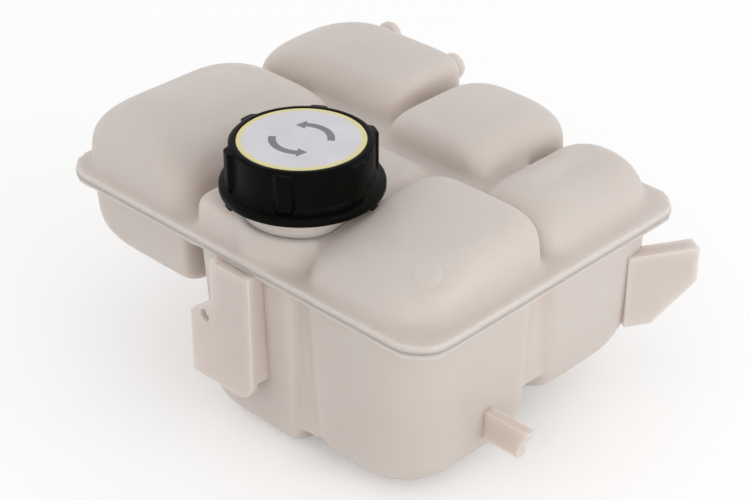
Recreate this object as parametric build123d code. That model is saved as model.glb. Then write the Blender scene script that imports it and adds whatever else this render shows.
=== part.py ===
from build123d import *
from math import cos, pi, radians, sin, tan
import os

# Coolant expansion tank: two welded half shells of six lobes each, and a screw cap with its valves.
# Modelled about the centre of the weld plane, with +X along the long front edge and +Z up.

# Flange and shells
flange_length = 212.0
flange_width = 161.0
flange_corner = 16.0
flange_half = 3.0
wall = 2.6
upper_draft = 4.0
lower_draft = 2.0
left_corner = 14.0
right_corner = 22.0
shoulder_clearance = 0.05
inner_corner_share = 0.75
end_rise = 1.0

# Where the lobes stand inside the flange; the middle lobes take the width that the outer ones leave
left_inset = 7.5
right_inset = 9.0
front_inset = 4.5
back_inset = 3.5
valley = 5.0
left_front_width = 66.5
right_front_width = 59.0
left_back_width = 85.5
right_back_width = 42.5
left_row_line = 22.0
middle_row_line = 12.0
right_row_line = 1.0

# Lobe heights above the weld plane
left_front_height = 33.0
neck_lobe_height = 17.0
right_front_height = 24.0
left_back_height = 29.0
middle_back_height = 28.0
right_back_height = 21.0
upper_shoulder_share = 0.42
upper_end_share = 0.8
end_room_share = 0.4
upper_crown = 4.0
upper_end_crown = 6.0

# Bowl depths below the weld plane; the two middle bowls reach the base that the tank stands on
base_depth = 84.0
left_front_depth = 35.0
right_front_depth = 80.0
left_back_depth = 45.0
right_back_depth = 73.0
lower_shoulder = 14.0
lower_end_shoulder = 18.0
least_top = 1.0

# Low saddle in the middle of the upper shell, through which the lobes open into one another
saddle_left = -58.0
saddle_right = 74.0
saddle_front = -26.0
saddle_back = 44.0
saddle_height = 11.0

# Filler neck, to the right of its lobe's middle and behind its front wall: a tube let into the lobe's top
neck_offset = 10.4
neck_setback = 25.4
neck_radius = 24.3
neck_bore = 20.5
neck_top = 42.0

# Small hose nipples on the back of the left lobe, measured from its left wall
outer_nipple_inset = 21.5
outer_nipple_z = 14.0
inner_nipple_inset = 61.5
inner_nipple_z = 11.0
nipple_radius = 5.0
nipple_bore = 3.2
nipple_bead = 6.2
nipple_reach = 18.5

# Outlet spigot at the foot of the middle back bowl
outlet_z = -57.0
outlet_radius = 10.0
outlet_bore = 8.0
outlet_bead = 11.2
outlet_reach = 21.0

# Bead near the end of each spigot
bead_land = 4.0

# Front mounting lug
lug_left = -20.0
lug_right = 16.0
lug_neck_left = -7.0
lug_bottom = -61.0
lug_ear_top = -31.0
lug_slope_top = -21.0
lug_reach = 7.5
lug_plate = 3.2
lug_hole_radius = 2.8
lug_hole_x = -11.5
lug_hole_z = -30.5

# Rear lug: a channel that points out of the right back corner
rear_lug_turn = 30.0
rear_lug_inset = 4.0
rear_lug_setback = 13.0
rear_lug_length = 25.5
rear_lug_width = 8.4
rear_lug_top = -18.0
rear_lug_tip_depth = 16.0
rear_lug_root_depth = 34.0
rear_lug_heel = 6.0
rear_lug_wall = 2.4

# Side hook on the right front bowl
hook_setback = 46.0
hook_thickness = 4.5
hook_top = -49.0
hook_bottom = -64.5
hook_reach = 21.0
hook_waist_reach = 16.4
hook_waist_z = -59.5

# Cap cover
cap_bottom = 26.5
cap_radius = 28.6
cap_bore = 25.6
cap_ceiling = 2.2
skirt_radius = 33.0
skirt_height = 3.4
rib_count = 6
rib_start = 2.4
rib_width = 8.5
rib_proud = 2.2
rib_lean = 1.2
rib_drop = 1.2
nub_count = 3
nub_start = 14.4
nub_width = 4.0
nub_depth = 2.0
nub_drop = 1.1
toe_count = 3
toe_width = 9.0
toe_reach = 2.4
toe_height = 1.0
fit_gap = 0.3

# Valve housing and its gasket
gasket_width = 2.4
gasket_height = 1.5
rim_radius = 24.0
rim_height = 1.5
housing_clearance = 0.6
housing_wall = 2.5
housing_bottom = 22.0
housing_floor = 2.0
seat_bore = 9.0

# Over-pressure valve; its plate and the retainer are six-sided, so that vented gas passes their flats
seal_radius = 12.5
seal_bore = 4.0
seal_height = 2.0
plate_bore = 3.2
plate_height = 1.6
retainer_height = 1.5
spring_radius = 10.4
spring_wire = 1.6
spring_turns = 4.0

# Vacuum valve
vacuum_head = 6.4
vacuum_head_height = 1.6
vacuum_stem = 1.6
vacuum_stake = 5.2
vacuum_stake_height = 1.0
vacuum_spring_radius = 4.2
vacuum_spring_wire = 0.6
vacuum_spring_height = 6.0
vacuum_spring_turns = 2.5
spring_sides = 8
end_room = 0.2

# Walls of the outer lobes at the flange
left_x = -flange_length / 2 + left_inset
right_x = flange_length / 2 - right_inset
front_y = -flange_width / 2 + front_inset
back_y = flange_width / 2 - back_inset
half_valley = valley / 2

# Middle lines of the valleys
front_left_line = left_x + left_front_width + half_valley
front_right_line = right_x - right_front_width - half_valley
back_left_line = left_x + left_back_width + half_valley
back_right_line = right_x - right_back_width - half_valley

# Axis of the neck and its cap
cap_x = (front_left_line + front_right_line) / 2 + neck_offset
cap_y = front_y + neck_setback

# Plan of each lobe at the flange: left, right, front and back
plans = {
    "left_front": (left_x, front_left_line - half_valley, front_y, left_row_line - half_valley),
    "neck": (front_left_line + half_valley, front_right_line - half_valley,
             front_y, middle_row_line - half_valley),
    "right_front": (front_right_line + half_valley, right_x, front_y, right_row_line - half_valley),
    "left_back": (left_x, back_left_line - half_valley, left_row_line + half_valley, back_y),
    "middle_back": (back_left_line + half_valley, back_right_line - half_valley,
                    middle_row_line + half_valley, back_y),
    "right_back": (back_right_line + half_valley, right_x, right_row_line + half_valley, back_y),
}
upper_heights = {
    "left_front": left_front_height, "neck": neck_lobe_height, "right_front": right_front_height,
    "left_back": left_back_height, "middle_back": middle_back_height, "right_back": right_back_height,
}
lower_depths = {
    "left_front": left_front_depth, "neck": base_depth, "right_front": right_front_depth,
    "left_back": left_back_depth, "middle_back": base_depth, "right_back": right_back_depth,
}

# Radius of each bowl corner that is rounded, by its right-hand and back-hand flags
bowl_corners = {
    "left_front": {(False, False): left_corner},
    "neck": {(False, False): left_corner},
    "right_front": {(True, False): right_corner},
    "left_back": {(False, True): left_corner},
    "middle_back": {},
    "right_back": {(True, True): right_corner},
}
# The upper lobes are rounded at every corner, apart from the crisp block under the neck
lobe_corners = {}
for name in plans:
    soft = {(right, back): left_corner for right in (False, True) for back in (False, True)}
    lobe_corners[name] = soft | bowl_corners[name]
lobe_corners["neck"] = {}

# Levels of the neck and inside the cap
neck_foot = neck_lobe_height / 2
gasket_top = neck_top + gasket_height
rim_top = gasket_top + rim_height
ceiling_z = rim_top + fit_gap
cap_top = ceiling_z + cap_ceiling
housing_radius = neck_bore - housing_clearance
housing_bore = housing_radius - housing_wall
floor_top = housing_bottom + housing_floor
seal_top = floor_top + seal_height
plate_top = seal_top + plate_height
retainer_bottom = rim_top - retainer_height
stake_bottom = plate_top + vacuum_spring_height

on_base = (Align.CENTER, Align.CENTER, Align.MIN)
through = 1.0


def soften(corners, radius, hollow):
    """Round the corners of an outline or a block, or cut them flat where they are the hollow's."""
    if hollow:
        return chamfer(corners, radius * inner_corner_share)
    return fillet(corners, radius)


def top_outline(span, height, draft, shoulder, crown, hollow):
    """Upright outline that trims a lobe's top: shoulders as far as the top has room, and a crowned or flat top."""
    half = span / 2 + shoulder_clearance
    eave = height - crown
    lean = eave * tan(radians(draft))
    left_eave = (-half + lean, eave)
    right_eave = (half - lean, eave)
    walls = Polyline(left_eave, (-half, 0), (half, 0), right_eave)
    if crown:
        top = ThreePointArc(right_eave, (0, height), left_eave)
    else:
        top = Line(right_eave, left_eave)
    outline = make_face(walls + top)
    room = half - lean - least_top / 2
    return soften(outline.vertices().group_by(Axis.Y)[-1], min(shoulder, room), hollow)


def tapered_block(x_span, y_span, height, draft):
    """Block whose four walls lean inwards by the draft."""
    upright = 90 - draft
    across_y = Plane.YZ * Trapezoid(y_span, height, upright, align=(Align.CENTER, Align.MIN))
    across_x = Plane.XZ * Trapezoid(x_span, height, upright, align=(Align.CENTER, Align.MIN))
    return extrude(across_y, x_span, both=True) & extrude(across_x, y_span, both=True)


def lobe(plan, height, draft, corners, shoulder, end_shoulder, crown, end_crown, skin=0.0):
    """Tapered block with some corners and its top softened; skin draws every wall in, for the hollow."""
    hollow = skin > 0
    x_span = plan[1] - plan[0] - 2 * skin
    y_span = plan[3] - plan[2] - 2 * skin
    body = tapered_block(x_span, y_span, height, draft)
    for (at_right, at_back), radius in corners.items():
        upright = body.edges().filter_by(lambda edge: edge.bounding_box().size.Z > height / 2)
        in_row = upright.sort_by(Axis.Y)[-2:] if at_back else upright.sort_by(Axis.Y)[:2]
        body = soften(in_row.sort_by(Axis.X)[-1 if at_right else 0], radius - skin, hollow)
    across_y = Plane.YZ * top_outline(y_span, height - skin, draft, shoulder - skin, crown, hollow)
    across_x = Plane.XZ * top_outline(x_span, height - skin + end_rise, draft, end_shoulder - skin, end_crown, hollow)
    body = body & extrude(across_y, x_span, both=True) & extrude(across_x, y_span, both=True)
    return Pos((plan[0] + plan[1]) / 2, (plan[2] + plan[3]) / 2, 0) * body


def saddle(skin=0.0):
    """Low tapered block across the valleys; skin draws it in, for the passage inside."""
    block = tapered_block(saddle_right - saddle_left - 2 * skin, saddle_back - saddle_front - 2 * skin,
                          saddle_height - skin, upper_draft)
    return Pos((saddle_left + saddle_right) / 2, (saddle_front + saddle_back) / 2, 0) * block


def flange():
    """One half of the weld flange, standing on the weld plane."""
    return extrude(RectangleRounded(flange_length, flange_width, flange_corner), flange_half)


def spigot(reach, radius, bead, bore):
    """Hose spigot along +Y from its wall at Y = 0, with a bead near its end, and its bore."""
    root = -flange_corner
    land = reach - bead_land
    outline = Polyline((0, root), (radius, root), (radius, land), (bead, land), (bead, reach), (0, reach), (0, root))
    body = revolve(make_face(outline), Axis.Y)
    bore_length = reach - root + 2 * through
    drill = Pos(0, root - through, 0) * Rot(-90, 0, 0) * Cylinder(bore, bore_length, align=on_base)
    return body, drill


def front_lug():
    """Front mounting lug: an eared plate on two webs that stand on the bowl's front wall."""
    plate_front = front_y - lug_reach
    web_back = front_y + flange_corner
    outline = Polyline((lug_left, lug_bottom), (lug_right, lug_bottom), (lug_right, 0), (lug_neck_left, 0),
                       (lug_neck_left, lug_slope_top), (lug_left, lug_ear_top), (lug_left, lug_bottom))
    facing_front = Plane(origin=(0, plate_front, 0), x_dir=(1, 0, 0), z_dir=(0, -1, 0))
    body = extrude(facing_front * make_face(outline), -lug_plate)
    for web_x in (lug_neck_left + lug_plate / 2, lug_right - lug_plate / 2):
        web = Box(lug_plate, web_back - plate_front, -lug_bottom,
                  align=(Align.CENTER, Align.MIN, Align.MIN))
        body += Pos(web_x, plate_front, lug_bottom) * web
    hole = Rot(-90, 0, 0) * Cylinder(lug_hole_radius, 2 * lug_plate)
    return body - Pos(lug_hole_x, plate_front + lug_plate / 2, lug_hole_z) * hole


def rear_lug():
    """Channel that is open underneath, pointing out of the right back corner."""
    turn = radians(rear_lug_turn)
    corner = (right_x - rear_lug_inset, back_y - rear_lug_setback, rear_lug_top)
    side = Plane(origin=corner, x_dir=(sin(turn), cos(turn), 0), z_dir=(cos(turn), -sin(turn), 0))
    root = -rear_lug_heel
    outline = Polyline((root, 0), (rear_lug_length, 0), (rear_lug_length, -rear_lug_tip_depth),
                       (rear_lug_heel, -rear_lug_root_depth), (root, -rear_lug_root_depth), (root, 0))
    inner_end = rear_lug_length - rear_lug_wall
    pocket_foot = -rear_lug_root_depth - through
    pocket = Polyline((root - through, -rear_lug_wall), (inner_end, -rear_lug_wall), (inner_end, pocket_foot),
                      (root - through, pocket_foot), (root - through, -rear_lug_wall))
    body = extrude(side * make_face(outline), rear_lug_width)
    inside = side.offset(rear_lug_wall)
    return body - extrude(inside * make_face(pocket), rear_lug_width - 2 * rear_lug_wall)


def side_hook():
    """Upright hooked tab on the right wall of the right front bowl."""
    root = -flange_corner
    nose = (hook_reach + hook_waist_reach) / 2
    nose_z = (hook_top + hook_waist_z) / 2
    outline = Polyline((root, hook_top), (hook_reach, hook_top), (nose, nose_z), (hook_waist_reach, hook_waist_z),
                       (hook_waist_reach, hook_bottom), (root, hook_bottom), (root, hook_top))
    middle = Plane(origin=(right_x, front_y + hook_setback, 0), x_dir=(1, 0, 0), z_dir=(0, -1, 0))
    return extrude(middle * make_face(outline), hook_thickness / 2, both=True)


def upper_shell():
    """Upper moulding: six crowned lobes, the socket of the filler neck and two hose nipples."""
    outer = flange() + saddle()
    cuts = saddle(wall)
    for name, plan in plans.items():
        height = upper_heights[name]
        end_shoulder = min(height * upper_end_share, (plan[1] - plan[0]) * end_room_share)
        sizes = (plan, height, upper_draft, lobe_corners[name], height * upper_shoulder_share,
                 end_shoulder, upper_crown, upper_end_crown)
        outer += lobe(*sizes)
        cuts += lobe(*sizes, wall)
    boss = Cylinder(neck_radius, neck_foot, align=on_base)
    socket = Cylinder(neck_radius + shoulder_clearance, neck_lobe_height, align=on_base)
    outer += Pos(cap_x, cap_y, 0) * boss
    cuts += Pos(cap_x, cap_y, neck_foot) * socket
    for inset, z in ((outer_nipple_inset, outer_nipple_z), (inner_nipple_inset, inner_nipple_z)):
        body, drill = spigot(nipple_reach, nipple_radius, nipple_bead, nipple_bore)
        outer += Pos(left_x + inset, back_y, z) * body
        cuts += Pos(left_x + inset, back_y, z) * drill
    return outer - cuts


def lower_shell():
    """Lower moulding: six bowls, the mounting lugs, the side hook and the outlet spigot."""
    outer = flange()
    hollow = Part()
    for name, plan in plans.items():
        sizes = (plan, lower_depths[name], lower_draft, bowl_corners[name], lower_shoulder,
                 lower_end_shoulder, 0, 0)
        outer += lobe(*sizes)
        hollow += lobe(*sizes, wall)
    outer = mirror(outer, Plane.XY)
    hollow = mirror(hollow, Plane.XY)
    plan = plans["middle_back"]
    body, drill = spigot(outlet_reach, outlet_radius, outlet_bead, outlet_bore)
    outlet_place = Pos((plan[0] + plan[1]) / 2, back_y, outlet_z)
    outer += outlet_place * body
    outer += front_lug()
    outer += rear_lug()
    outer += side_hook()
    return outer - (hollow + outlet_place * drill)


def ring(outer, inner, height, z):
    """Flat ring about the cap's axis, standing at height z."""
    body = Cylinder(outer, height, align=on_base) - Cylinder(inner, height, align=on_base)
    return Pos(0, 0, z) * body


def cap_cover():
    """Screw cap: ribbed grip, flared skirt, and inner toes that hold the valve housing."""
    height = cap_top - cap_bottom
    grip = Cylinder(cap_radius, height, align=on_base)
    body = grip + Cylinder(skirt_radius, skirt_height, align=on_base)
    rib_root = cap_radius - rib_proud
    rib_tip = cap_radius + rib_proud
    half = rib_width / 2
    rib_outline = Polyline((rib_root, -half), (rib_tip, -half + rib_lean), (rib_tip, half - rib_lean),
                           (rib_root, half), (rib_root, -half))
    rib = extrude(make_face(rib_outline), height - rib_drop)
    nub = Box(nub_depth, nub_width, nub_drop + through, align=(Align.MAX, Align.CENTER, Align.MIN))
    for i in range(rib_count):
        body += Rot(0, 0, rib_start + 360 / rib_count * i) * rib
    for i in range(nub_count):
        body += Rot(0, 0, nub_start + 360 / nub_count * i) * Pos(skirt_radius, 0, -nub_drop) * nub
    ceiling = ceiling_z - cap_bottom
    body -= Cylinder(cap_bore, ceiling, align=on_base)
    toe = Box(toe_reach + through, toe_width, toe_height, align=(Align.MIN, Align.CENTER, Align.MIN))
    toe_z = neck_top + fit_gap - cap_bottom
    for i in range(toe_count):
        body += Rot(0, 0, rib_start + 360 / toe_count * i) * Pos(cap_bore - toe_reach, 0, toe_z) * toe
    return Pos(0, 0, cap_bottom) * body


def valve_housing():
    """Plug in the neck's bore: an open cup with a seat in its floor and a rim that rests on the gasket."""
    cup = Pos(0, 0, housing_bottom) * Cylinder(housing_radius, rim_top - housing_bottom, align=on_base)
    rim = Pos(0, 0, gasket_top) * Cylinder(rim_radius, rim_height, align=on_base)
    bore = Pos(0, 0, floor_top) * Cylinder(housing_bore, rim_top - floor_top, align=on_base)
    seat = Pos(0, 0, housing_bottom) * Cylinder(seat_bore, housing_floor, align=on_base)
    return cup + rim - bore - seat


def six_sided(radius, height, z):
    """Six-sided plate about the cap's axis, standing at height z."""
    return Pos(0, 0, z) * extrude(RegularPolygon(radius, 6), height)


def pressure_plate():
    """Plate on the seal, guided by its six corners in the housing's bore."""
    bore = Pos(0, 0, seal_top) * Cylinder(plate_bore, plate_height, align=on_base)
    return six_sided(housing_bore - fit_gap, plate_height, seal_top) - bore


def vacuum_valve():
    """Poppet with its head under the seal and a six-sided end on its stem above the spring."""
    head = Pos(0, 0, floor_top - vacuum_head_height) * Cylinder(vacuum_head, vacuum_head_height, align=on_base)
    stem = Pos(0, 0, floor_top) * Cylinder(vacuum_stem, stake_bottom - floor_top, align=on_base)
    return head + stem + six_sided(vacuum_stake, vacuum_stake_height, stake_bottom)


def coil(radius, wire, turns, height):
    """Spring of square wire, each turn made of equal straight lengths, standing on Z = 0."""
    rise = (height - wire - end_room) / turns
    points = []
    for i in range(int(turns * spring_sides) + 1):
        turn = i / spring_sides
        points.append((radius * cos(2 * pi * turn), radius * sin(2 * pi * turn), wire / 2 + rise * turn))
    path = Polyline(*points)
    start = Plane(origin=path @ 0, x_dir=(0, 0, 1), z_dir=path % 0)
    return sweep(start * Rectangle(wire, wire), path=path, transition=Transition.RIGHT)


gasket_inner = housing_radius + fit_gap
spring_height = retainer_bottom - plate_top

on_cap_axis = {
    "neck_tube": ring(neck_radius, neck_bore, neck_top - neck_foot, neck_foot),
    "cap_cover": cap_cover(),
    "valve_housing": valve_housing(),
    "neck_gasket": ring(gasket_inner + gasket_width, gasket_inner, gasket_height, neck_top),
    "spring_retainer": six_sided(housing_bore, retainer_height, retainer_bottom),
    "pressure_spring": Pos(0, 0, plate_top) * coil(spring_radius, spring_wire, spring_turns, spring_height),
    "pressure_plate": pressure_plate(),
    "pressure_seal": ring(seal_radius, seal_bore, seal_height, floor_top),
    "vacuum_spring": Pos(0, 0, plate_top) * coil(vacuum_spring_radius, vacuum_spring_wire,
                                                 vacuum_spring_turns, vacuum_spring_height),
    "vacuum_valve": vacuum_valve(),
}
pieces = {"upper_shell": upper_shell(), "lower_shell": lower_shell()}
for name, piece in on_cap_axis.items():
    pieces[name] = Pos(cap_x, cap_y, 0) * piece

# The tank stands on its deepest bowls, with the middle of its whole box over the origin
boxes = [piece.bounding_box() for piece in pieces.values()]
middle_x = (min(box.min.X for box in boxes) + max(box.max.X for box in boxes)) / 2
middle_y = (min(box.min.Y for box in boxes) + max(box.max.Y for box in boxes)) / 2
stand = Pos(-middle_x, -middle_y, base_depth)

os.makedirs("parts", exist_ok=True)
for name, piece in pieces.items():
    export_step(stand * piece, f"parts/{name}.step")
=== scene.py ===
"""Looks of a coolant expansion tank.

Soft lobed mouldings, a ribbed screw cap with its printed disc, the valve springs and the stage.
"""

from collections import namedtuple
from math import cos, pi, radians, sin, tan

import bmesh
import bpy
import numpy as np
from bpy.props import FloatProperty, FloatVectorProperty, IntProperty, PointerProperty
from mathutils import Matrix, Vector


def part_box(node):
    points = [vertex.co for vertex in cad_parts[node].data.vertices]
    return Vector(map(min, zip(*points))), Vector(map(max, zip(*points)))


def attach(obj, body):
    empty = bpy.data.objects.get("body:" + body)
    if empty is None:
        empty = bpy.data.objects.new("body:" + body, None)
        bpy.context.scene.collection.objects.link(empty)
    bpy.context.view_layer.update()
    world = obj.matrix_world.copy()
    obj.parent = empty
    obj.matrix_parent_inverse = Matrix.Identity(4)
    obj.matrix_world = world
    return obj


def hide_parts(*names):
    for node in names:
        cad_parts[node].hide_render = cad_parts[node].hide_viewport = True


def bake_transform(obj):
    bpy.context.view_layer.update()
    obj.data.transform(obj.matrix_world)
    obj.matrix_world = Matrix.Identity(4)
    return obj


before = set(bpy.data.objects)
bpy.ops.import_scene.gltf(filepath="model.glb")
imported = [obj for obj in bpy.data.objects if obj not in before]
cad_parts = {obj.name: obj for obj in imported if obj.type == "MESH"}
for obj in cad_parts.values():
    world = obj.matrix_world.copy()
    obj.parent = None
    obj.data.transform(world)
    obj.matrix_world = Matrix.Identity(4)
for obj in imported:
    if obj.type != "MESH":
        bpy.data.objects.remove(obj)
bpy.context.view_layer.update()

bl_info = {
    "name": "Coolant expansion tank",
    "version": (1, 0, 0),
    "blender": (4, 5, 0),
    "location": "View3D > Sidebar > Tank",
    "description": "Builds the milky mouldings, the screw cap and the stage of a coolant expansion tank",
    "category": "Object",
}

MM = 0.001
TAU = 2 * pi
UPPER_LOW, UPPER_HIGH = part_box("upper_shell")
CAP_LOW, CAP_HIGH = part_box("cap_cover")

# Millimetres about the middle of the flange on the weld plane, as the mouldings are drawn
FLANGE_LENGTH = (UPPER_HIGH.x - UPPER_LOW.x) / MM
FLANGE_WIDTH = 161.0
FLANGE_CORNER = 16.0
FLANGE_HALF = 3.0
# How far each half of the flange stays inside the rim of its solid
UPPER_INSET, LOWER_INSET = 0.3, 0.4
WELD_CENTRE = Vector(((UPPER_LOW.x + UPPER_HIGH.x) / 2, UPPER_LOW.y + FLANGE_WIDTH / 2 * MM, UPPER_LOW.z))
CAP_X = ((CAP_LOW.x + CAP_HIGH.x) / 2 - WELD_CENTRE.x) / MM
CAP_Y = ((CAP_LOW.y + CAP_HIGH.y) / 2 - WELD_CENTRE.y) / MM
CAP_TOP = (CAP_HIGH.z - WELD_CENTRE.z) / MM
NECK_FOOT, NECK_TOP = ((corner.z - WELD_CENTRE.z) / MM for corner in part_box("neck_tube"))

# Radii of the filler neck, of its socket and of the screw cap
NECK_BORE = 20.5
NECK_RADIUS = 24.2
SOCKET_RADIUS = 24.3
CAP_BORE = 25.6
GRIP_RADIUS = 28.6
SKIRT_RADIUS = 33.0
# How far the cap's stops hang under its skirt, and how far the disc's face lies under the cap's top
STOP_DROP = 1.1
DISC_DEPTH = 0.1

# Front lug: its face, the thickness of its plate and webs, its sides and its foot
LUG_FACE = -83.5
LUG_PLATE = 3.2
LUG_LEFT = -7.0
LUG_RIGHT = 16.0
LUG_FOOT = -61.0

# How far a solid runs past the weld plane before it is trimmed there
PAST_WELD = 4.0
# Inner radius of a turned solid that has no bore
AXIS = 0.01

# Outer walls that lobes and bowls share
LEFT, FRONT, BACK = -98.5, -76.0, 77.0
# Walls of a lobe or bowl at the flange
Plan = namedtuple("Plan", "left right front back")
# Shoulders are radii at the left, right, front and back
# Corners are radii from the right front, round by the back, to the left front
Lobe = namedtuple("Lobe", "plan height crown lean shoulders corners")
DOMES = {
    "left_front": Lobe(Plan(LEFT, -32.0, FRONT, 19.5), 30.0, 4.0, 0.0, (12, 16, 16, 20), (12, 12, 16, 14)),
    "neck": Lobe(Plan(-25.5, 28.0, FRONT, 9.5), 17.0, 0.0, 0.0, (3, 3, 3, 3), (6, 6, 6, 6)),
    "right_front": Lobe(Plan(34.5, 98.0, FRONT, 0.5), 24.5, 2.0, 0.10, (10, 13, 22, 7), (24, 8, 10, 14)),
    "left_back": Lobe(Plan(LEFT, -12.5, 24.5, BACK), 30.0, 1.5, 0.0, (22, 6, 15, 5), (8, 8, 22, 8)),
    "middle_back": Lobe(Plan(-8.0, 50.0, 14.5, BACK), 28.5, 2.5, 0.0, (12, 14, 10, 14), (8, 14, 12, 8)),
    "right_back": Lobe(Plan(54.5, 97.0, 3.5, BACK), 21.0, 2.5, 0.0, (8, 20, 10, 16), (10, 26, 10, 10)),
}
BOWLS = {
    "left_front": Lobe(Plan(LEFT, -32.0, FRONT, 19.5), 35.0, 0.0, 0.0, (20, 8, 16, 12), (3, 3, 10, 16)),
    "neck": Lobe(Plan(-27.0, 33.0, FRONT, 9.5), 84.0, 0.0, 0.0, (11, 6, 11, 10), (3, 3, 3, 11)),
    "right_front": Lobe(Plan(38.0, 97.0, FRONT, -1.5), 81.0, 0.0, 0.0, (14, 19, 17, 20), (24, 8, 3, 5)),
    "left_back": Lobe(Plan(LEFT, -13.0, 24.5, BACK), 45.0, 0.0, 0.0, (26, 10, 12, 20), (3, 3, 16, 10)),
    "middle_back": Lobe(Plan(-8.0, 49.5, 14.5, BACK), 84.0, 0.0, 0.0, (14, 14, 14, 16), (3, 8, 8, 3)),
    "right_back": Lobe(Plan(54.5, 97.0, 3.5, BACK), 73.5, 0.0, 0.0, (12, 24, 14, 40), (8, 18, 3, 3)),
}
# Webs in the two valleys between the deep bowls, a little behind their walls: low and high corners
BOWL_WEBS = (((30.0, -71.5, -73.0), (41.0, -58.0, -2.0)), ((78.0, -5.0, -55.0), (92.5, 7.0, -2.0)))
# Low saddle across the valleys in the middle of the upper moulding
SADDLE = Plan(-58.0, 74.0, -26.0, 44.0)
SADDLE_HEIGHT = 14.0

# Hose spigots: radii of the tube, its bead and its bore, with the reach and the root from the back wall
Spigot = namedtuple("Spigot", "radius bead bore reach root")
NIPPLE = Spigot(5.0, 6.2, 3.2, 18.5, -6.0)
OUTLET = Spigot(10.0, 11.2, 8.0, 21.0, -3.0)
# Places along the back wall and over the weld
NIPPLE_PLACES = ((-77.0, 14.0), (-37.0, 11.0))
OUTLET_PLACE = (20.75, -57.0)


class TankMouldingSettings(bpy.types.PropertyGroup):
    """Sizes of the two welded mouldings."""
    wall: FloatProperty(name="Wall", description="Thickness of the moulded wall", default=2.6 * MM,
                        min=1.5 * MM, max=4 * MM, unit="LENGTH")
    grid: FloatProperty(name="Surface grid", description="Size of the faces of the soft surface",
                        default=1.5 * MM, min=1 * MM, max=4 * MM, unit="LENGTH")
    softness: IntProperty(name="Softness", description="Smoothing steps that round the lobes together",
                          default=11, min=0, max=60)
    draft: FloatProperty(name="Draft", description="Lean of the moulded walls", default=radians(2), min=0,
                         max=radians(6), subtype="ANGLE")
    gate_radius: FloatProperty(name="Gate mark", description="Radius of the mark left by the mould's gate",
                               default=5.5 * MM, min=2 * MM, max=8 * MM, unit="LENGTH")


class TankCapSettings(bpy.types.PropertyGroup):
    """Sizes of the screw cap's grip."""
    ribs: IntProperty(name="Ribs", description="Number of grip ribs", default=6, min=3, max=12)
    rib_proud: FloatProperty(name="Rib height", description="How far a rib stands out of the grip",
                             default=2.2 * MM, min=0.5 * MM, max=3 * MM, unit="LENGTH")
    disc_radius: FloatProperty(name="Disc radius", description="Radius of the printed disc on the cap",
                               default=25.5 * MM, min=15 * MM, max=27 * MM, unit="LENGTH")
    ring_width: FloatProperty(name="Ring width", description="Width of the disc's yellow border",
                              default=2.2 * MM, min=0.5 * MM, max=5 * MM, unit="LENGTH")


class TankColours(bpy.types.PropertyGroup):
    """Colours of the finishes."""
    milky: FloatVectorProperty(name="Milky plastic", description="Clear areas of the mouldings",
                               subtype="COLOR", size=4, default=(0.745, 0.655, 0.60, 1.0), min=0, max=1)
    cloudy: FloatVectorProperty(name="Cloudy plastic", description="Greyer clouds in the mouldings",
                                subtype="COLOR", size=4, default=(0.69, 0.605, 0.55, 1.0), min=0, max=1)
    black: FloatVectorProperty(name="Cap black", description="Screw cap",
                               subtype="COLOR", size=4, default=(0.001, 0.0011, 0.0007, 1.0), min=0, max=1)
    disc: FloatVectorProperty(name="Disc white", description="Printed disc",
                              subtype="COLOR", size=4, default=(0.74, 0.73, 0.77, 1.0), min=0, max=1)
    ring: FloatVectorProperty(name="Ring yellow", description="Border of the printed disc",
                              subtype="COLOR", size=4, default=(0.80, 0.72, 0.36, 1.0), min=0, max=1)


# Mesh helpers: points are in millimetres about the weld centre until they become an object

def add_object(name, points, faces):
    """Object from points in metres."""
    mesh = bpy.data.meshes.new(name)
    mesh.from_pydata(points, [], faces)
    piece = bpy.data.objects.new(name, mesh)
    bpy.context.scene.collection.objects.link(piece)
    return piece


def new_object(name, points, faces):
    """Object from points in millimetres about the weld centre, with its faces turned outwards."""
    placed = np.asarray(points, float) * MM + np.array(WELD_CENTRE)
    piece = add_object(name, placed.tolist(), faces)
    piece.data.validate()
    skin = bmesh.new()
    skin.from_mesh(piece.data)
    bmesh.ops.recalc_face_normals(skin, faces=skin.faces)
    skin.to_mesh(piece.data)
    skin.free()
    return piece


def outline(plan, radii, steps=10):
    """Rounded rectangle with a radius for each corner: right front, right back, left back, left front."""
    left, right, front, back = plan
    limit = min(right - left, back - front) / 2
    corners = ((right, front), (right, back), (left, back), (left, front))
    inwards = ((-1, 1), (-1, -1), (1, -1), (1, 1))
    points = []
    for corner, ((x, y), (in_x, in_y), radius) in enumerate(zip(corners, inwards, radii)):
        radius = max(min(radius, limit), 0.2)
        for step in range(steps + 1):
            angle = radians(-90 + 90 * corner + 90 * step / steps)
            points.append((x + in_x * radius + radius * cos(angle), y + in_y * radius + radius * sin(angle)))
    return np.array(points)


def shrunk(plan, left, right, front, back):
    """Plan with each wall moved in by its own amount."""
    return Plan(plan.left + left, plan.right - right, plan.front + front, plan.back - back)


def loft(name, rings):
    """Closed solid through rings of equal point count, the first and last capped."""
    count = len(rings[0])
    points = np.concatenate(rings)
    faces = [tuple(range(count))[::-1], tuple(range(len(points) - count, len(points)))]
    for ring in range(len(rings) - 1):
        low = ring * count
        for i in range(count):
            j = (i + 1) % count
            faces.append((low + i, low + j, low + count + j, low + count + i))
    return new_object(name, points, faces)


def ring_at(flat, z):
    """Flat outline lifted to its height."""
    return np.column_stack((flat, np.full(len(flat), z)))


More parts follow.
